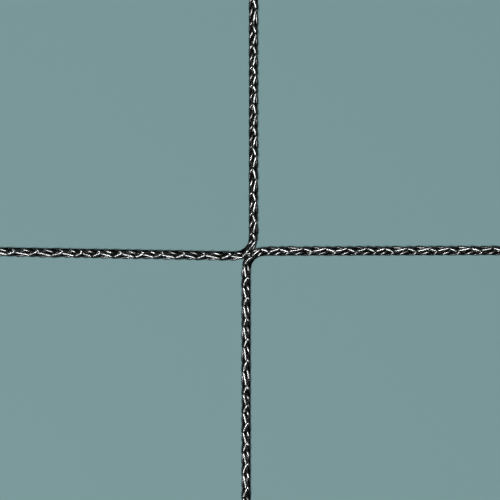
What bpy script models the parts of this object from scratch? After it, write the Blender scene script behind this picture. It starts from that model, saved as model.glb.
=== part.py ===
"""A cut piece of knotless safety netting, three by three crossings, lying flat.

The net is made of cords called wales. Each wale climbs from the lower left to the upper right in
steps, one leg along X and the next along Y, and at every crossing it is joined along its side to the
wale beside it. So a crossing has two rounded corners, where a wale bends, and two sharp ones, where
the wales part. The joined wales are one solid: a net of this make has no knots and no separate pieces.
"""

import math

import bmesh
import bpy
from mathutils import Vector

# Driving dimensions, in metres.
MESH = 0.100  # from one crossing to the next, which is the mesh size
CORD = 0.0038  # thickness of a leg, across its flats
EDGE = 1.5 * MESH  # from the middle to the cut ends, which are halfway along their legs
BEND_RADIUS = 0.0067  # of a wale's centreline, where it turns at a crossing
BEND_SPANS = 6  # straight spans in a bend
STEP_X = 0.0013  # a crossing's upper leg stands this far right of its middle, and its lower leg left
STEP_Y = 0.00086  # a crossing's right leg lies this far above its middle, and its left leg below

COLUMNS = (-1, 0, 1)
ROWS = (-1, 0, 1)

# With every leg square, a crossing stands two steps right of the one below it, and two steps above
# the one on its left. The legs of a real net are a little uneven, so each crossing strays from there.
STRAYS_MM = {
    # (column, row): (right, up)
    (-1, 1): (0.4, 1.5),
    (0, 1): (0.0, 0.4),
    (1, 1): (-0.6, 0.2),
    (-1, 0): (0.6, 1.8),
    (0, 0): (0.0, 0.0),
    (1, 0): (-0.5, 0.3),
    (-1, -1): (-0.3, 1.2),
    (0, -1): (0.0, -0.4),
    (1, -1): (0.7, -0.5),
}

# The leg's section is a ten-sided polygon with one side down, so that the net has a flat to lie on.
SECTION_SIDES = 10
SIDES_RESOLUTION = 3  # the bevel resolution that gives ten sides
SECTION_RADIUS = CORD / 2 / math.cos(math.pi / SECTION_SIDES)  # to the polygon's corners

WELD = 1e-6  # joins a curve's caps to its sides
BLACK = (0.012, 0.013, 0.016, 1.0)
ROUGHNESS = 0.4


def clear_scene():
    for old in list(bpy.data.objects):
        bpy.data.objects.remove(old)


def new_collection(name):
    collection = bpy.data.collections.new(name)
    bpy.context.scene.collection.children.link(collection)
    return collection


def cord_material():
    material = bpy.data.materials.new("black_cord")
    material.use_nodes = True
    shader = material.node_tree.nodes["Principled BSDF"]
    shader.inputs["Base Color"].default_value = BLACK
    shader.inputs["Roughness"].default_value = ROUGHNESS
    shader.inputs["Metallic"].default_value = 0.0
    return material


def crossing(column, row):
    """The middle of a crossing, at the height of the cord's middle."""
    right, up = STRAYS_MM[column, row]
    x = column * MESH + 2 * row * STEP_X + right / 1000
    y = row * MESH + 2 * column * STEP_Y + up / 1000
    return Vector((x, y, CORD / 2))


def wale_corners(column, row, climbs):
    """The corners of the wale that reaches this crossing first, with its two cut ends.

    climbs says which way it turns there: up from the left leg, or right from the lower leg.
    """
    corners = []
    started_climbing = climbs
    while column in COLUMNS and row in ROWS:
        side = 1 if climbs else -1
        corners.append(crossing(column, row) + side * Vector((STEP_X, -STEP_Y, 0)))
        column, row = (column, row + 1) if climbs else (column + 1, row)
        climbs = not climbs
    start, finish = corners[0].copy(), corners[-1].copy()
    if started_climbing:
        start.x = -EDGE
    else:
        start.y = -EDGE
    if climbs:
        finish.x = EDGE
    else:
        finish.y = EDGE
    return [start, *corners, finish]


def bend(before, corner, after):
    """Points on the arc that rounds a corner."""
    ahead = (corner - before).normalized()
    onward = (after - corner).normalized()
    turn = ahead.angle(onward)
    inward = (onward - ahead * ahead.dot(onward)).normalized()
    first = corner - ahead * BEND_RADIUS * math.tan(turn / 2)
    centre = first + inward * BEND_RADIUS
    angles = [turn * step / BEND_SPANS for step in range(BEND_SPANS + 1)]
    return [centre + BEND_RADIUS * (ahead * math.sin(a) - inward * math.cos(a)) for a in angles]


def wale_route(corners):
    """The centreline of a wale, from cut end to cut end."""
    route = [corners[0]]
    for before, corner, after in zip(corners, corners[1:], corners[2:]):
        route += bend(before, corner, after)
    return route + [corners[-1]]


def tube_mesh(name, route):
    """A closed tube along a route, with one flat side down."""
    curve = bpy.data.curves.new(name, "CURVE")
    curve.dimensions = "3D"
    curve.twist_mode = "Z_UP"
    curve.bevel_depth = SECTION_RADIUS
    curve.bevel_resolution = SIDES_RESOLUTION
    curve.use_fill_caps = True
    spline = curve.splines.new("POLY")
    spline.points.add(len(route) - 1)
    for point, place in zip(spline.points, route):
        point.co = (*place, 1)
    guide = bpy.data.objects.new(name, curve)
    bpy.context.scene.collection.objects.link(guide)
    bpy.context.view_layer.update()
    graph = bpy.context.evaluated_depsgraph_get()
    mesh = bpy.data.meshes.new_from_object(guide.evaluated_get(graph))
    bpy.data.objects.remove(guide)
    work = bmesh.new()
    work.from_mesh(mesh)
    bmesh.ops.remove_doubles(work, verts=work.verts, dist=WELD)
    work.to_mesh(mesh)
    work.free()
    return mesh


def join(base, other):
    union = base.modifiers.new("join_" + other.name, "BOOLEAN")
    union.operation = "UNION"
    union.solver = "EXACT"
    union.object = other


def build_netting(parts, guides, material):
    first_crossings = [(COLUMNS[0], row, True) for row in ROWS]
    first_crossings += [(column, ROWS[0], False) for column in COLUMNS]
    netting = None
    for column, row, climbs in first_crossings:
        route = wale_route(wale_corners(column, row, climbs))
        name = f"wale_from_{'left' if climbs else 'below'}_{row if climbs else column}"
        mesh = tube_mesh(name, route)
        if netting is None:
            netting = bpy.data.objects.new("netting", mesh)
            mesh.materials.append(material)
            parts.objects.link(netting)
        else:
            wale = bpy.data.objects.new(name, mesh)
            wale.hide_render = True
            wale.display_type = "WIRE"
            guides.objects.link(wale)
            join(netting, wale)
    return netting


def main():
    clear_scene()
    parts = new_collection("safety_net")
    guides = new_collection("wales_to_join")
    build_netting(parts, guides, cord_material())


main()
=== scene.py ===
import math
import random

import bpy
import numpy as np
from mathutils import Matrix, Vector


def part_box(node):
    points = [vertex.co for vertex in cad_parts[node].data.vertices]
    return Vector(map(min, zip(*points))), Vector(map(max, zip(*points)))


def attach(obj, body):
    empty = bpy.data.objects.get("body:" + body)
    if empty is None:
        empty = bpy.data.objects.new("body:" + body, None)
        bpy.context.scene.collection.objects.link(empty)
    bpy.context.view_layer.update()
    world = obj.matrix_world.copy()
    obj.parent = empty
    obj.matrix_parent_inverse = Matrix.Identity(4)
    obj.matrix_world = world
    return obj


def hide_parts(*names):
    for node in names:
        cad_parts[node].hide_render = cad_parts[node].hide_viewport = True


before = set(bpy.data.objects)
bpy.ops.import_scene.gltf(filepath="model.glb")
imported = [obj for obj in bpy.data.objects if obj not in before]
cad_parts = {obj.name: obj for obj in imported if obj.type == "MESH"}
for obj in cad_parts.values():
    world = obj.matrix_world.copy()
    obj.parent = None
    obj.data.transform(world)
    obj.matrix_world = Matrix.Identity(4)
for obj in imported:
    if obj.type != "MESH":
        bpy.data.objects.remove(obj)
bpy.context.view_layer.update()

# the net's own sizes come from its frame solid
netLow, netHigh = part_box("netting")
edge = netHigh.x  # from the middle to a cut end
cordDiameter = netHigh.z - netLow.z
meshSize = edge / 1.5  # three meshes from edge to edge

layout = {
    "bendRadius": 0.0067,  # of a wale's centreline at a crossing
    "bendSteps": 40,
    "stepX": 0.0013,  # upper leg right of the crossing's middle, lower leg left of it
    "stepY": 0.00086,  # right leg above the crossing's middle, left leg below it
    "strays": {  # how far each crossing sits from a square lie, mm
        (-1, 1): (0.4, 1.5), (0, 1): (0.0, 0.4), (1, 1): (-0.6, 0.2),
        (-1, 0): (0.6, 1.8), (0, 0): (0.0, 0.0), (1, 0): (-0.5, 0.3),
        (-1, -1): (-0.3, 1.2), (0, -1): (0.0, -0.4), (1, -1): (0.7, -0.5),
    },
    "pointStep": 0.0002,  # between the points at which wales and yarns are worked out
    "smoothings": 12,
}


def crossingPlace(column, row):
    right, up = layout["strays"][column, row]
    x = column * meshSize + 2 * row * layout["stepX"] + right / 1000
    y = row * meshSize + 2 * column * layout["stepY"] + up / 1000
    return Vector((x, y, cordDiameter / 2))


def waleCorners(column, row, climbs):
    # cut end, a corner at each crossing, cut end
    corners = []
    startClimbs = climbs
    while column <= 1 and row <= 1:
        side = 1 if climbs else -1
        aside = side * Vector((layout["stepX"], -layout["stepY"], 0))
        corners.append(crossingPlace(column, row) + aside)
        column, row = (column, row + 1) if climbs else (column + 1, row)
        climbs = not climbs
    start, finish = corners[0].copy(), corners[-1].copy()
    if startClimbs:
        start.x = -edge
    else:
        start.y = -edge
    if climbs:
        finish.x = edge
    else:
        finish.y = edge
    return [start, *corners, finish]


def between(along, values, places):
    columns = [np.interp(places, along, values[:, k]) for k in range(values.shape[1])]
    return np.stack(columns, axis=1)


def distancesAlong(line):
    steps = np.linalg.norm(np.diff(line, axis=0), axis=1)
    return np.concatenate([[0], np.cumsum(steps)])


def smoothLine(line, times):
    for _ in range(times):
        line[1:-1] = (line[:-2] + 2 * line[1:-1] + line[2:]) / 4


def waleLine(corners):
    # close points along the wale, and the distance along it of each crossing
    points = [corners[0]]
    nodes = []
    radius = layout["bendRadius"]
    steps = layout["bendSteps"]
    for before, corner, after in zip(corners, corners[1:], corners[2:]):
        ahead, onward = (corner - before).normalized(), (after - corner).normalized()
        turn = ahead.angle(onward)
        inward = (onward - ahead * ahead.dot(onward)).normalized()
        first = corner - ahead * radius * math.tan(turn / 2)
        centre = first + inward * radius
        nodes.append(len(points) + steps // 2)
        for k in range(steps + 1):
            angle = turn * k / steps
            points.append(centre + radius * (ahead * math.sin(angle) - inward * math.cos(angle)))
    points.append(corners[-1])
    line = np.array([tuple(p) for p in points])
    along = distancesAlong(line)
    marks = [along[i] for i in nodes]
    even = np.linspace(0, along[-1], int(along[-1] / layout["pointStep"]) + 1)
    line = between(along, line, even)
    smoothLine(line, layout["smoothings"])  # where straight meets bend
    return even, line, marks


def easing(x):
    x = np.clip(x, 0, 1)
    return x * x * (3 - 2 * x)


joint = {
    "squeeze": 0.62,  # side by side at a crossing, each wale gives way
    "reach": 0.0075,
}


class Wale:
    def __init__(self, column, row, climbs):
        self.along, self.line, self.marks = waleLine(waleCorners(column, row, climbs))
        rank = column - row if climbs else column - row + 1
        self.hand = 1 if rank % 2 else -1  # neighbouring wales are mirror images
        tangent = np.gradient(self.line, axis=0)
        tangent /= np.linalg.norm(tangent, axis=1)[:, None]
        self.normal = np.cross([0, 0, 1], tangent)
        # each crossing in turn: which one it is, and whether the wale climbs there
        self.crossings = []
        for _ in self.marks:
            self.crossings.append((column, row, climbs))
            column, row = (column, row + 1) if climbs else (column + 1, row)
            climbs = not climbs

    def places(self, across, up):
        # from the wale's own measures to places in the net
        for mark, (*_, climbs) in zip(self.marks, self.crossings):
            near = 1 - easing(np.abs(self.along - mark) / joint["reach"])
            inner = -1 if climbs else 1  # the side where the other wale lies
            across = across * (1 - (1 - joint["squeeze"]) * near * (across * inner > 0))
        return self.line + across[:, None] * self.normal + up[:, None] * np.array([0, 0, 1.0])


chance = random.Random(11)  # seeded, so each run is the same
wander = {  # how far each measure strays along a wale, and over what length
    "braidPhase": (0.55, 0.055),  # radians, makes the courses uneven
    "braidWidth": (0.07, 0.028),
    "roll": (7, 0.09),  # degrees
    "twistPhase": (0.5, 0.04),
    "twistWidth": (0.07, 0.02),
    "yarnPhase": (0.22, 0.023),  # each yarn on its own
    "yarnHeight": (0.00009, 0.012),
}
wanderWaves = ((0.5, 1), (0.3, 0.61), (0.2, 0.37))  # share of the size, share of the length


def drift(wale, measure):
    # slow and seeded, never the same twice
    size, length = wander[measure]
    total = 0
    for share, part in wanderWaves:
        start = chance.uniform(0, 2 * math.pi)
        total = total + share * np.sin(2 * math.pi * wale.along / (length * part) + start)
    return size * total


def boxedTurn(angle, settings):
    # a round trip with flattened sides
    c, s = np.cos(angle), np.sin(angle)
    boxiness = settings["boxiness"]
    reach = (np.abs(c) ** boxiness + np.abs(s) ** boxiness) ** (-1 / boxiness)
    return settings["halfWidth"] * reach * c, settings["halfHeight"] * reach * s


braid = {
    "course": 0.0078,  # from one crest of its wave to the next
    "middle": 0.00046,  # beside the wale's middle
    "halfWidth": 0.00072,  # to the middles of its yarns
    "halfHeight": 0.00116,
    "boxiness": 7,  # 2 is an oval
    "weave": 0.0002,  # the rise of a yarn that passes over
    "yarnRadius": 0.0006,
    "roll": -45,  # degrees, turns the waves to the top and the foot
    "rollChange": 3,  # added after the middle crossing, taken off before it
    "rollReach": 0.01,  # how soon that comes in
    "lean": -0.15,  # makes its wave's strokes long one way and short the other
    "sides": 2,  # bevel resolution
    "closest": 0.00052,  # between a yarn's points in its tightest turns
    "furthest": 0.0012,
    "changing": (0, 2),  # the yarns that go over to the other wale at a crossing
}


def braidTracks(wale):
    fromMiddle = wale.along - wale.marks[len(wale.marks) // 2]
    turn = math.pi * fromMiddle / braid["course"] + drift(wale, "braidPhase")
    side = np.tanh(fromMiddle / braid["rollReach"])
    roll = np.radians(braid["roll"] + braid["rollChange"] * side + drift(wale, "roll"))
    width = 1 + drift(wale, "braidWidth")
    wale.turn = turn
    tracks = []
    for way in (1, -1):
        over = way * braid["weave"] * np.cos(2 * turn)
        for start in (0, math.pi):
            angle = way * (turn + start) + roll + drift(wale, "yarnPhase")
            angle = angle + way * braid["lean"] * np.sin(2 * angle)
            across, up = boxedTurn(angle, braid)
            across = braid["middle"] + (across + over * np.cos(angle)) * width
            up = up + over * np.sin(angle) + drift(wale, "yarnHeight")
            tracks.append(wale.places(across * wale.hand, up))
    return tracks


twist = {
    "lay": 0.0078,  # one full turn
    "middle": -0.00064,
    "halfWidth": 0.00058,
    "halfHeight": 0.00134,
    "boxiness": 10,
    "late": 0.5,  # radians behind the braid
    "quick": (0.35, -0.22),  # how much faster each ply crosses the top
    "yarnRadius": 0.0005,
    "sides": 1,
    "closest": 0.0005,
    "furthest": 0.0011,
    "changing": (0,),
}


def twistTracks(wale):
    turn = 2 * wale.turn * braid["course"] / twist["lay"] + twist["late"]
    turn = turn + drift(wale, "twistPhase")
    width = 1 + drift(wale, "twistWidth")
    tracks = []
    for start, quick in zip((0, math.pi), twist["quick"]):
        angle = turn + start + drift(wale, "yarnPhase")
        angle = angle + quick * np.sin(2 * angle) + math.pi / 2
        across, up = boxedTurn(angle, twist)
        up = up + drift(wale, "yarnHeight")
        tracks.append(wale.places((twist["middle"] - across * width) * wale.hand, up))
    return tracks


swap = {
    "reach": 0.0055,  # on each side of a crossing, where a yarn changes wales
    "rise": 0.0005,
}


def crossOver(track, otherTrack, wale, otherWale, mark, otherMark, climbs):
    # from one wale's track to the other's, over it or under it
    reach = swap["reach"]
    offset = np.arange(-reach, reach, layout["pointStep"])
    share = easing((offset + reach) / (2 * reach))[:, None]
    rise = swap["rise"] * (1 if climbs else -1) * (1 - (offset / reach) ** 2) ** 2
    one = between(wale.along, track, mark + offset)
    two = between(otherWale.along, otherTrack, otherMark + offset)
    return one * (1 - share) + two * share + rise[:, None] * np.array([0, 0, 1.0])


def routesThrough(tracks, changing):
    # each yarn from cut end to cut end; a changing one swaps wales at every crossing
    marksAt = {}
    for index, wale in enumerate(wales):
        for mark, (column, row, climbs) in zip(wale.marks, wale.crossings):
            marksAt[column, row, climbs] = (index, mark)
    reach = swap["reach"]
    routes = []
    for startIndex in range(len(wales)):
        for number in range(len(tracks[0])):
            index, here = startIndex, 0.0
            parts = []
            while True:
                wale = wales[index]
                track = tracks[index][number]
                ahead = [(m, c) for m, c in zip(wale.marks, wale.crossings) if m - reach > here]
                change = ahead[0] if ahead and number in changing else None
                stop = change[0] - reach if change else wale.along[-1]
                places = np.arange(here, stop, layout["pointStep"])
                parts.append(between(wale.along, track, places))
                if not change:
                    break
                mark, (column, row, climbs) = change
                otherIndex, otherMark = marksAt[column, row, not climbs]
                other = wales[otherIndex]
                otherTrack = tracks[otherIndex][number]
                parts.append(crossOver(track, otherTrack, wale, other, mark, otherMark, climbs))
                index, here = otherIndex, otherMark + reach
            routes.append(np.concatenate(parts))
    return routes


yarnPoints = {
    "tooClose": 1e-7,
    "smoothings": 3,  # eases the corners
    "fineStep": 0.0001,
    "evenedOver": 9,  # fine steps
    "turn": 0.42,  # radians from one point to the next
}


def spread(line, closest, furthest):
    # points close together where the yarn turns tightly
    step = np.linalg.norm(np.diff(line, axis=0), axis=1)
    line = line[np.concatenate([[True], step > yarnPoints["tooClose"]])]
    smoothLine(line, yarnPoints["smoothings"])
    along = distancesAlong(line)
    even = np.linspace(0, along[-1], int(along[-1] / yarnPoints["fineStep"]))
    fine = between(along, line, even)
    ahead = np.gradient(fine, even, axis=0)
    bending = np.linalg.norm(np.gradient(ahead, even, axis=0), axis=1)
    window = np.ones(yarnPoints["evenedOver"]) / yarnPoints["evenedOver"]
    bending = np.convolve(bending, window, mode="same")
    spacing = np.clip(yarnPoints["turn"] / np.maximum(bending, 1), closest, furthest)
    count = np.concatenate([[0], np.cumsum((1 / spacing)[1:] * np.diff(even))])
    places = np.interp(np.linspace(0, count[-1], int(count[-1]) + 2), count, even)
    return between(even, fine, places)


def makeYarn(name, line, settings):
    curve = bpy.data.curves.new(name, "CURVE")
    curve.dimensions = "3D"
    curve.bevel_depth = settings["yarnRadius"]
    curve.bevel_resolution = settings["sides"]
    curve.use_fill_caps = True
    spline = curve.splines.new("POLY")
    spline.points.add(len(line) - 1)
    for point, place in zip(spline.points, line):
        point.co = (*place, 1)
    yarn = bpy.data.objects.new(name, curve)
    yarn["metres"] = float(np.linalg.norm(np.diff(line, axis=0), axis=1).sum())
    bpy.context.scene.collection.objects.link(yarn)
    return yarn


def measureAlong(yarn):
    # the UV map's first number becomes metres along the yarn
    layer = yarn.data.uv_layers[0]
    flat = np.empty(2 * len(layer.data), dtype=np.float32)
    layer.data.foreach_get("uv", flat)
    flat[0::2] *= yarn["metres"]
    layer.data.foreach_set("uv", flat)


def selectOnly(things):
    for thing in bpy.context.selected_objects:
        thing.select_set(False)
    for thing in things:
        thing.select_set(True)
    if things:
        bpy.context.view_layer.objects.active = things[0]


def joinSelected(name):
    bpy.ops.object.join()
    piece = bpy.context.view_layer.objects.active
    piece.name = name
    piece.data.name = name
    return piece


def joinYarns(name, yarns):
    selectOnly(yarns)
    bpy.ops.object.convert(target="MESH")
    for yarn in yarns:
        measureAlong(yarn)
    piece = joinSelected(name)
    bpy.ops.object.mode_set(mode="EDIT")
    bpy.ops.mesh.select_all(action="SELECT")
    bpy.ops.mesh.remove_doubles(threshold=0.000001)  # joins the caps to the sides
    bpy.ops.mesh.normals_make_consistent(inside=False)
    bpy.ops.object.mode_set(mode="OBJECT")
    bpy.ops.object.shade_smooth_by_angle(angle=math.radians(70))  # caps stay sharp
    return piece


def makeYarns(name, tracks, settings):
    yarns = []
    for k, route in enumerate(routesThrough(tracks, settings["changing"])):
        route[:, 2] = np.maximum(route[:, 2], settings["yarnRadius"])  # it lies on the surface
        line = spread(route, settings["closest"], settings["furthest"])
        yarns.append(makeYarn(f"{name}{k}", line, settings))
    return yarns


def trianglesOf(piece):
    return sum(len(face.vertices) - 2 for face in piece.data.polygons)


climbingWales = [Wale(-1, row, True) for row in (-1, 0, 1)]
wales = climbingWales + [Wale(column, -1, False) for column in (-1, 0, 1)]
print("wales laid out", [round(float(w.along[-1]), 4) for w in wales])

braids = makeYarns("braidYarn", [braidTracks(wale) for wale in wales], braid)
plies = makeYarns("ply", [twistTracks(wale) for wale in wales], twist)
net = joinYarns("nettedYarns", braids + plies)
print("yarns made,", trianglesOf(net), "triangles")

core = {
    "places": [(0.0004, -0.0002), (-0.0007, -0.0002)],  # beside and above the wale's middle
    "yarnRadius": 0.00085,
    "sides": 2,
    "spacing": 0.0025,
}


def coreTracks(wale):
    level = np.ones(len(wale.along))
    return [wale.places(across * wale.hand * level, up * level) for across, up in core["places"]]


def makeCores():
    yarns = []
    for route in routesThrough([coreTracks(wale) for wale in wales], ()):
        line = spread(route, core["spacing"], core["spacing"])
        yarns.append(makeYarn("coreYarn", line, core))
    return joinYarns("coreYarns", yarns)


cores = makeCores()
print("cores made,", trianglesOf(cores), "triangles")

tip = {
    "radius": 0.0019,
    "halfLength": 0.0019,
    "setBack": 0.0008,  # its middle, from the cut end
    "lumps": 0.09,  # share of its radius
    "flattening": 0.92,
    "bluntness": 3,  # 2 is a ball
    "segments": 40,
    "rings": 26,
    "lookIn": 8,  # line points from a cut end to the one that shows its direction
    "spin": 0.5,  # radians either way, besides a half turn
}


def makeFirstTip():
    selectOnly([])
    bpy.ops.mesh.primitive_uv_sphere_add(segments=tip["segments"], ring_count=tip["rings"], radius=1)
    first = bpy.context.active_object
    power = tip["bluntness"]
    for vertex in first.data.vertices:
        x, y, z = vertex.co
        # a broad wave and a finer one
        wave = math.sin(3 * x + 1) * math.cos(4 * y)
        wave += 0.6 * math.sin(7 * z + 5 * x) * math.cos(6 * y + 1)
        lump = 1 + tip["lumps"] * wave
        blunt = 1 / max(abs(z) ** power + (1 - z * z) ** (power / 2), 0.3) ** (1 / power)
        vertex.co = (
            x * lump * tip["radius"],
            y * lump * tip["radius"] * tip["flattening"],
            z * (0.9 + 0.1 * lump) * blunt * tip["halfLength"],
        )
    return first


def makeTips():
    # one heat-sealed end, then a turned copy at every cut end
    first = makeFirstTip()
    copies = []
    for wale in wales:
        for end, inside in ((0, tip["lookIn"]), (-1, -1 - tip["lookIn"])):
            place = Vector(wale.line[end])
            inward = Vector(wale.line[inside] - wale.line[end]).normalized()
            copy = first.copy()
            copy.data = first.data.copy()
            bpy.context.scene.collection.objects.link(copy)
            turn = inward.to_track_quat("Z", "Y").to_matrix().to_4x4()
            angle = chance.uniform(-tip["spin"], tip["spin"]) + chance.choice([0, math.pi])
            spin = Matrix.Rotation(angle, 4, "Z")
            copy.matrix_world = Matrix.Translation(place + inward * tip["setBack"]) @ turn @ spin
            copies.append(copy)
    bpy.data.objects.remove(first)
    selectOnly(copies)
    joined = joinSelected("sealedTips")
    bpy.ops.object.transform_apply(location=True, rotation=True, scale=True)
    for vertex in joined.data.vertices:
        vertex.co.z = max(vertex.co.z, 0)  # flat where it set on a surface
    bpy.ops.object.shade_smooth()
    return joined


tips = makeTips()
print("ends sealed,", trianglesOf(tips), "triangles")


class Link:  # a node's socket that takes part in sums
    def __init__(self, tree, socket):
        self.tree = tree
        self.socket = socket

    def sum(self, operation, other):
        return addNode(self.tree, "ShaderNodeMath", {"operation": operation}, [self, other])

    def __add__(self, other):
        return self.sum("ADD", other)

    def __radd__(self, other):
        return self.sum("ADD", other)

    def __mul__(self, other):
        return self.sum("MULTIPLY", other)

    def __rmul__(self, other):
        return self.sum("MULTIPLY", other)


def addNode(tree, kind, settings=None, inputs=None, output=0):
    node = tree.nodes.new(kind)
    for name, value in (settings or {}).items():
        if name == "stops":
            ramp = node.color_ramp
            for stop, (place, colour) in zip(ramp.elements, value):
                stop.position = place
                stop.color = colour
        else:
            setattr(node, name, value)
    pairs = inputs.items() if isinstance(inputs, dict) else enumerate(inputs or [])
    for key, value in pairs:
        if isinstance(value, Link):
            tree.links.new(value.socket, node.inputs[key])
        else:
            node.inputs[key].default_value = value
    return Link(tree, node.outputs[output])


def addNoise(tree, where, scale, detail, roughness):
    inputs = {"Vector": where, "Scale": scale, "Detail": detail, "Roughness": roughness}
    return addNode(tree, "ShaderNodeTexNoise", None, inputs)


def addBlend(tree, share, low, high):
    inputs = {0: share, 6: low, 7: high}
    return addNode(tree, "ShaderNodeMix", {"data_type": "RGBA"}, inputs, output=2)


def addRange(tree, value, fromLow, fromHigh, results):
    return addNode(tree, "ShaderNodeMapRange", None, [value, fromLow, fromHigh, *results])


def addBump(tree, height, settings):
    inputs = {"Strength": settings["strength"], "Distance": settings["depth"], "Height": height}
    return addNode(tree, "ShaderNodeBump", None, inputs)


def newMaterial(name, values):
    material = bpy.data.materials.new(name)
    material.use_nodes = True
    tree = material.node_tree
    shader = tree.nodes["Principled BSDF"]
    for key, value in values.items():
        shader.inputs[key].default_value = value
    return material, tree, shader


def feed(tree, shader, links):
    for name, value in links.items():
        tree.links.new(value.socket, shader.inputs[name])


filament = {
    "twist": 190,  # radians a metre
    "fineness": 9,  # ridges across a yarn's radius
    "run": 70,  # how soon a ridge changes along the yarn
    "strandFineness": 1.2,  # the same for the coarser strands
    "strandRun": 160,
    "patches": 130.0,  # noise scales
    "dust": 2600.0,
    "depth": 0.0001,
    "strength": 0.8,
    "black": (0.0006, 0.0007, 0.0011, 1),
    "worn": (0.0030, 0.0028, 0.0027, 1),
    "roughness": (0.22, 0.37),
    "coat": (0.35, 0.95),
    "gloss": {"IOR": 1.6, "Specular IOR Level": 0.8, "Coat Roughness": 0.2},
}


def makeYarnMaterial():
    material, tree, shader = newMaterial("blackFilamentYarn", filament["gloss"])
    uv = addNode(tree, "ShaderNodeUVMap", {"uv_map": "UVMap"})
    along = addNode(tree, "ShaderNodeSeparateXYZ", None, [uv])
    around = addNode(tree, "ShaderNodeSeparateXYZ", None, [uv], output=1)
    angle = around * (2 * math.pi) + along * filament["twist"]
    cosine = addNode(tree, "ShaderNodeMath", {"operation": "COSINE"}, [angle])
    sine = addNode(tree, "ShaderNodeMath", {"operation": "SINE"}, [angle])

    def onYarn(run, fineness):
        steps = [along * run, cosine * fineness, sine * fineness]
        return addNode(tree, "ShaderNodeCombineXYZ", None, steps)

    ridges = addNoise(tree, onYarn(filament["run"], filament["fineness"]), 1.0, 3.0, 0.6)
    strandPlace = onYarn(filament["strandRun"], filament["strandFineness"])
    strands = addNoise(tree, strandPlace, 1.0, 2.0, 0.5)
    where = addNode(tree, "ShaderNodeTexCoord", output=3)
    patches = addNoise(tree, where, filament["patches"], 4.0, 0.65)
    dust = addNoise(tree, where, filament["dust"], 2.0, 0.7)
    stops = [(0.46, (0, 0, 0, 1)), (0.68, (1, 1, 1, 1))]
    mixture = patches * 0.55 + ridges * 0.3 + dust * 0.2
    wear = addNode(tree, "ShaderNodeValToRGB", {"stops": stops}, [mixture])
    feed(tree, shader, {
        "Base Color": addBlend(tree, wear, filament["black"], filament["worn"]),
        "Roughness": addRange(tree, strands * 0.6 + ridges * 0.4, 0.3, 0.7, filament["roughness"]),
        "Coat Weight": addRange(tree, patches * 0.5 + strands * 0.5, 0.65, 0.35, filament["coat"]),
        "Normal": addBump(tree, ridges * 0.8 + strands * 0.25, filament),
    })
    return material


dullCore = {
    "fuzz": 900.0,
    "black": (0.0004, 0.0004, 0.0005, 1),
    "worn": (0.0018, 0.0016, 0.0014, 1),
    "depth": 0.0001,
    "strength": 0.6,
    "gloss": {"Roughness": 0.9, "Specular IOR Level": 0.02},
}


def makeCoreMaterial():
    material, tree, shader = newMaterial("dullCoreYarn", dullCore["gloss"])
    where = addNode(tree, "ShaderNodeTexCoord", output=3)
    fuzz = addNoise(tree, where, dullCore["fuzz"], 3.0, 0.6)
    feed(tree, shader, {
        "Base Color": addBlend(tree, fuzz, dullCore["black"], dullCore["worn"]),
        "Normal": addBump(tree, fuzz, dullCore),
    })
    return material


melted = {
    "ripples": 700.0,
    "pits": 2400.0,
    "black": (0.0012, 0.0012, 0.0015, 1),
    "worn": (0.006, 0.005, 0.0045, 1),
    "roughness": (0.2, 0.5),
    "depth": 0.0002,
    "strength": 0.5,
}


def makeTipMaterial():
    material, tree, shader = newMaterial("meltedTip", {})
    where = addNode(tree, "ShaderNodeTexCoord", output=3)
    ripples = addNoise(tree, where, melted["ripples"], 4.0, 0.6)
    pits = addNoise(tree, where, melted["pits"], 2.0, 0.5)
    feed(tree, shader, {
        "Base Color": addBlend(tree, ripples, melted["black"], melted["worn"]),
        "Roughness": addRange(tree, ripples, 0.3, 0.7, melted["roughness"]),
        "Normal": addBump(tree, ripples + pits * 0.3, melted),
    })
    return material


looks = [(net, makeYarnMaterial()), (cores, makeCoreMaterial()), (tips, makeTipMaterial())]
for piece, material in looks:
    piece.data.materials.clear()
    piece.data.materials.append(material)
    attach(piece, "root")
    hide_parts("netting")
print("materials made")

selectOnly([])
bpy.ops.mesh.primitive_plane_add(size=14, location=(0, 0, -0.0002))  # just clear of the net
floor = bpy.context.active_object
floor.name = "floor"
floorLook = {"Base Color": (0.0592, 0.0944, 0.0967, 1), "Roughness": 0.9}
floor.data.materials.append(newMaterial("paleFloor", floorLook)[0])

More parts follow.
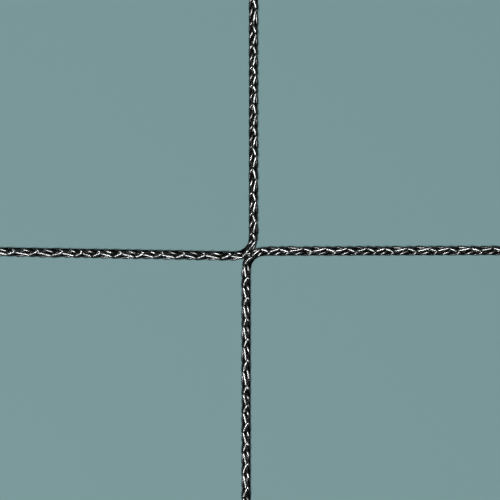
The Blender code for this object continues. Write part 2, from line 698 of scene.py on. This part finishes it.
# a pale wall all round, for low views
wall = {
    "radius": 3.4,
    "height": 1.0,
    "segments": 96,
    "colour": (0.09, 0.142, 0.144, 1),
    "glow": 0.7,
}
bpy.ops.mesh.primitive_cylinder_add(
    vertices=wall["segments"],
    radius=wall["radius"],
    depth=wall["height"],
    end_fill_type="NOTHING",
    location=(0, 0, wall["height"] / 2),
)
backdrop = bpy.context.active_object
backdrop.name = "backdrop"
bpy.ops.object.mode_set(mode="EDIT")
bpy.ops.mesh.select_all(action="SELECT")
bpy.ops.mesh.normals_make_consistent(inside=True)
bpy.ops.object.mode_set(mode="OBJECT")
bpy.ops.object.shade_smooth()
wallLook = {
    "Base Color": wall["colour"],
    "Roughness": 0.9,
    "Emission Color": wall["colour"],
    "Emission Strength": wall["glow"],
}
backdrop.data.materials.append(newMaterial("paleWall", wallLook)[0])


def addLight(name, elevation, size, watts, azimuth=225, distance=4):
    light = bpy.data.lights.new(name, "AREA")
    light.shape = "DISK"
    light.size = size
    light.energy = watts
    lamp = bpy.data.objects.new(name, light)
    a, e = math.radians(azimuth), math.radians(elevation)
    direction = Vector((math.cos(a) * math.cos(e), math.sin(a) * math.cos(e), math.sin(e)))
    lamp.location = distance * direction
    lamp.rotation_euler = lamp.location.to_track_quat("Z", "Y").to_euler()
    bpy.context.scene.collection.objects.link(lamp)
    return lamp


addLight("keyLight", elevation=87, size=1.6, watts=400)
sideLight = addLight("sideLight", elevation=50, size=1.3, watts=235)
sideLight.data.use_shadow = False  # lights the flanks and leaves the floor even

world = bpy.data.worlds.new("studio")
bpy.context.scene.world = world
world.use_nodes = True
sky = world.node_tree.nodes["Background"]
sky.inputs["Color"].default_value = (1, 1, 1, 1)
sky.inputs["Strength"].default_value = 0.01

view = {
    "lens": 85,
    "sensor": 36,
    "halfFrame": 0.0931,  # metres of net from the middle of the frame to its side
    "middle": (0.00006, 0.00141),
}
cameraData = bpy.data.cameras.new("camera")
cameraData.lens = view["lens"]
cameraData.sensor_width = view["sensor"]
cameraData.clip_start = 0.01
cameraData.clip_end = 20
camera = bpy.data.objects.new("camera", cameraData)
bpy.context.scene.collection.objects.link(camera)
distance = view["halfFrame"] * view["lens"] / (view["sensor"] / 2)
camera.location = (*view["middle"], distance + cordDiameter / 2)
camera.rotation_euler = (0, 0, 0)  # straight down
bpy.context.scene.camera = camera

bpy.context.scene.view_settings.view_transform = "Standard"
bpy.context.scene.view_settings.look = "None"
bpy.context.scene.view_settings.gamma = 0.8  # deeper blacks
